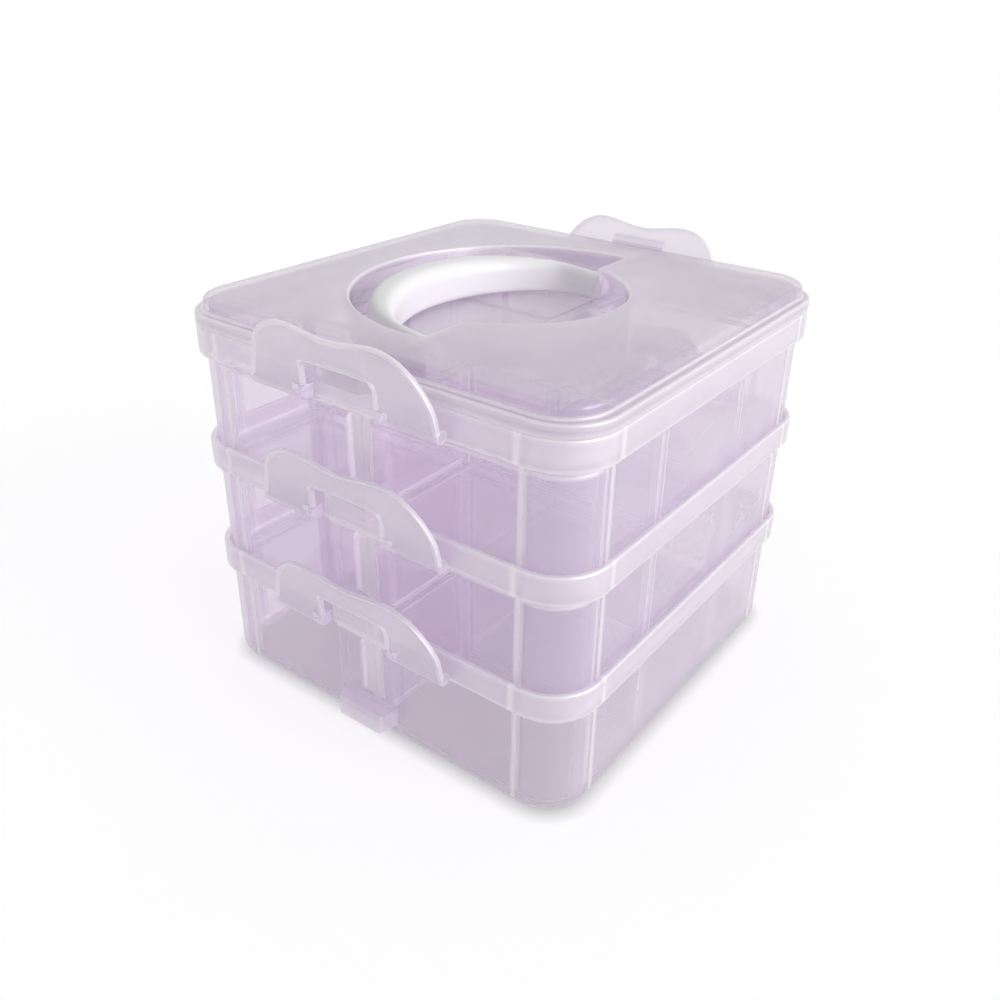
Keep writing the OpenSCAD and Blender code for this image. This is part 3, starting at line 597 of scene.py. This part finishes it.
def white_polypropylene():
    """Opaque white polypropylene from a polished tool: even, slightly soft, with a broad gloss."""
    material = bpy.data.materials.new("white_polypropylene_handle")
    material.use_nodes = True
    tree = material.node_tree
    tree.nodes.clear()
    place = add(tree, "ShaderNodeTexCoord").outputs["Object"]
    # The thick section sinks in soft waves about 1.1 mm long, and its white drifts over about 17 mm.
    wave = add(tree, "ShaderNodeTexNoise", {"Scale": 900.0, "Detail": 2.0}, Vector=place)
    bump = add(tree, "ShaderNodeBump", {"Strength": 0.1, "Distance": 0.00005}, Height=wave.outputs["Fac"])
    cloud = add(tree, "ShaderNodeTexNoise", {"Scale": 60.0, "Detail": 2.0}, Vector=place)
    colour = add(tree, "ShaderNodeMix", {"data_type": "RGBA", 6: linear("E0E0E1"), 7: linear("DCDCDE")},
                 _0=cloud.outputs["Fac"])
    surface = add(tree, "ShaderNodeBsdfPrincipled", {"Roughness": 0.27, "IOR": 1.49, "Subsurface Weight": 0.1,
                                                    "Subsurface Scale": 0.002},
                  Base_Color=colour.outputs[2], Normal=bump.outputs["Normal"])
    add(tree, "ShaderNodeOutputMaterial", Surface=surface.outputs[0])
    return material


def curved(share, power):
    """One coordinate of a superellipse: the circle's coordinate to the power 2 / power, with its sign."""
    return np.sign(share) * np.abs(share) ** (2 / power)


def grip():
    """The grip is a section carried round the C. At each station it spans from the inner line to the outer
    one and up to a height that grows towards the middle. Its upper half is a superellipse crown and its lower
    half a squarer one. Beyond the axis the ends close as a half drum about the pin."""
    a = [np.linspace(-90, -60, 14), np.linspace(-57, 57, 58), np.linspace(60, 90, 14)]
    a = np.radians(np.concatenate(a))
    outer = (PIVOT_X, 0) + GRIP_R * np.stack([-curved(np.cos(a), GRIP_FULL), curved(np.sin(a), GRIP_FULL)], 1)
    straight = GRIP_R - ARM_W
    bend = math.asin(straight / INNER_R)
    inner = circle(INNER_R, np.linspace(-bend, bend, 60)) * (-1, 1)
    inner += (PIVOT_X - GRIP_R + GRIP_W + INNER_R, 0)
    inner = np.vstack([[(PIVOT_X, -straight)], inner, [(PIVOT_X, straight)]])
    inner = along(refined(inner, 0.5), np.linspace(0, 1, 240))
    for _ in range(60):
        inner[1:-1] = (inner[:-2] + 2 * inner[1:-1] + inner[2:]) / 4
    inner = along(inner, np.linspace(0, 1, len(a)) * 0.25 + 0.75 * (a - a[0]) / (a[-1] - a[0]))
    low = np.full(len(a), PIVOT_Z - END_H / 2)
    high = PIVOT_Z + END_H / 2 + 0.1 * (PIVOT_X - 0.5 * (outer + inner)[:, 0])
    drum = np.radians(np.linspace(0, 90, 9))[1:]
    x, half = PIVOT_X + END_H / 2 * np.sin(drum), np.maximum(END_H / 2 * np.cos(drum), 0.02)
    inner_end, outer_end = (np.stack([x, np.full(len(x), y)], 1) for y in (straight, GRIP_R))
    inner = np.vstack([(inner_end * (1, -1))[::-1], inner, inner_end])
    outer = np.vstack([(outer_end * (1, -1))[::-1], outer, outer_end])
    low = np.concatenate([PIVOT_Z - half[::-1], low, PIVOT_Z - half])
    high = np.concatenate([PIVOT_Z + half[::-1], high, PIVOT_Z + half])
    turn = np.linspace(0, 2 * math.pi, 48, endpoint=False)
    power = np.where(np.sin(turn) > 0, 2.7, 7.0)
    across, upward = curved(np.cos(turn), power), curved(np.sin(turn), power)
    middle, span = (outer + inner) / 2, (outer - inner) / 2
    xy = middle[:, None] + span[:, None] * across[None, :, None]
    z = (low + high)[:, None] / 2 + ((high - low) / 2)[:, None] * upward[None]
    return skin(np.dstack([xy, z]), False, True)


def pin():
    """One pivot pin with a chamfered tip."""
    outline = circle(PIN_R, np.linspace(0, 2 * math.pi, 32, endpoint=False)) + (PIVOT_X, PIVOT_Z)
    return slab(outline, GRIP_R - 0.3, GRIP_R + PIN_OUT, 0.3, "xzy")


handle_parts = [grip(), pin(), moved(pin(), flip=(1, -1, 1))]
piece("handle_grip", handle_parts, white_polypropylene(), "handle", ["handle"])

# ---- Studio ----
# A white sweep that carries the box's shadow and a painted contact shadow close under it, a soft room that
# is a little brighter on the box's right, two distant lamps and the camera.


def seen_directly(tree):
    """1 for camera and glossy rays, and 0 for the rays that light the box."""
    ray = add(tree, "ShaderNodeLightPath")
    return add(tree, "ShaderNodeMath", {"operation": "MAXIMUM"},
               _0=ray.outputs["Is Camera Ray"], _1=ray.outputs["Is Glossy Ray"]).outputs[0]


floor_mesh = bpy.data.meshes.new("floor")
floor_mesh.from_pydata([(-3, -3, 0), (3, -3, 0), (3, 3, 0), (-3, 3, 0)], [], [(0, 1, 2, 3)])
floor = bpy.data.objects.new("floor", floor_mesh)
floor.location.z = -0.0004
bpy.context.scene.collection.objects.link(floor)

paper = bpy.data.materials.new("white_paper")
paper.use_nodes = True
tree = paper.node_tree
tree.nodes.clear()
seen = seen_directly(tree)
# A painted contact shadow: within 5 mm of the box the paper is mixed towards black, standing in for the light
# that hardly reaches there.
painted_contact_shadow = add(tree, "ShaderNodeAmbientOcclusion", {"Distance": 0.005, "samples": 8})
near = add(tree, "ShaderNodeMapRange", {"To Min": 0.5, "To Max": 1.0}, Value=painted_contact_shadow.outputs["AO"])
pale = add(tree, "ShaderNodeMix", {"data_type": "RGBA", 6: linear("F6F6F6"), 7: linear("BCBCBC")}, _0=seen)
matt = add(tree, "ShaderNodeBsdfDiffuse", {}, Color=pale.outputs[2])
level = add(tree, "ShaderNodeMath", {"operation": "MULTIPLY", 1: 0.57}, _0=seen)
glow = add(tree, "ShaderNodeEmission", {"Color": (1, 1, 1, 1)})
tree.links.new(level.outputs[0], glow.inputs["Strength"])
both = add(tree, "ShaderNodeAddShader", _0=matt.outputs[0], _1=glow.outputs[0])
dark = add(tree, "ShaderNodeBsdfDiffuse", {"Color": (0, 0, 0, 1)})
sheet = add(tree, "ShaderNodeMixShader", _0=near.outputs[0], _1=dark.outputs[0], _2=both.outputs[0])
add(tree, "ShaderNodeOutputMaterial", Surface=sheet.outputs[0])
floor_mesh.materials.append(paper)

world = bpy.data.worlds.new("studio")
bpy.context.scene.world = world
world.use_nodes = True
tree = world.node_tree
tree.nodes.clear()
seen = seen_directly(tree)
way = add(tree, "ShaderNodeTexCoord").outputs["Generated"]
side = add(tree, "ShaderNodeVectorMath", {"operation": "DOT_PRODUCT", 1: (0.8, 0.4, 0.0)}, _0=way)
level = add(tree, "ShaderNodeMapRange", {"From Min": -1.0, "To Min": 0.48, "To Max": 0.81},
            Value=side.outputs["Value"])
soft = add(tree, "ShaderNodeBackground", {"Color": linear("FFFFFF")}, Strength=level.outputs[0])
white = add(tree, "ShaderNodeBackground", {"Color": (1, 1, 1, 1), "Strength": 1.0})
mix = add(tree, "ShaderNodeMixShader", _0=seen, _1=soft.outputs[0], _2=white.outputs[0])
add(tree, "ShaderNodeOutputWorld", Surface=mix.outputs[0])


def facing_matrix(axes, place):
    """The matrix of an object whose own X, Y and Z run along three axes."""
    turn = Matrix(np.stack(axes, 1).tolist())
    return Matrix.Translation(Vector(place)) @ turn.to_4x4()


def distant(name, towards, angle, strength):
    """A distant lamp whose light comes from the given direction, spread over an angle."""
    lamp = bpy.data.lights.new(name, "SUN")
    lamp.energy, lamp.angle = strength, math.radians(angle)
    back = np.array(towards, float) / np.linalg.norm(towards)
    side = np.cross((0, 0, 1), back)
    side /= np.linalg.norm(side)
    obj = bpy.data.objects.new(name, lamp)
    obj.matrix_world = facing_matrix((side, np.cross(back, side), back), (0, 0, 0.5))
    bpy.context.scene.collection.objects.link(obj)


distant("key", (0.80, 0.11, 0.19), 50, 2.55)
distant("sparkle", (-0.35, -0.60, 0.75), 9, 0.08)

# The camera stands to the front right and looks down on the lid.
azimuth, elevation, roll = (math.radians(v) for v in (35.913, 27.681, 1.244))
flat = np.array([math.sin(azimuth), -math.cos(azimuth), 0]) * math.cos(elevation)
back = flat + (0, 0, math.sin(elevation))
right = np.array([math.cos(azimuth), math.sin(azimuth), 0.0])
up = np.cross(back, right)
lens = bpy.data.cameras.new("camera")
lens.lens, lens.sensor_width, lens.clip_start = 35.33, 36.0, 0.01
lens.shift_x, lens.shift_y = -0.00945, -0.01671
camera = bpy.data.objects.new("camera", lens)
axes = (right * math.cos(roll) + up * math.sin(roll), up * math.cos(roll) - right * math.sin(roll), back)
camera.matrix_world = facing_matrix(axes, np.array([0, 0, 0.060]) + back * 0.3465)
bpy.context.scene.collection.objects.link(camera)
bpy.context.scene.camera = camera
bpy.context.scene.view_settings.view_transform = "Standard"
bpy.context.scene.cycles.transparent_max_bounces = 48
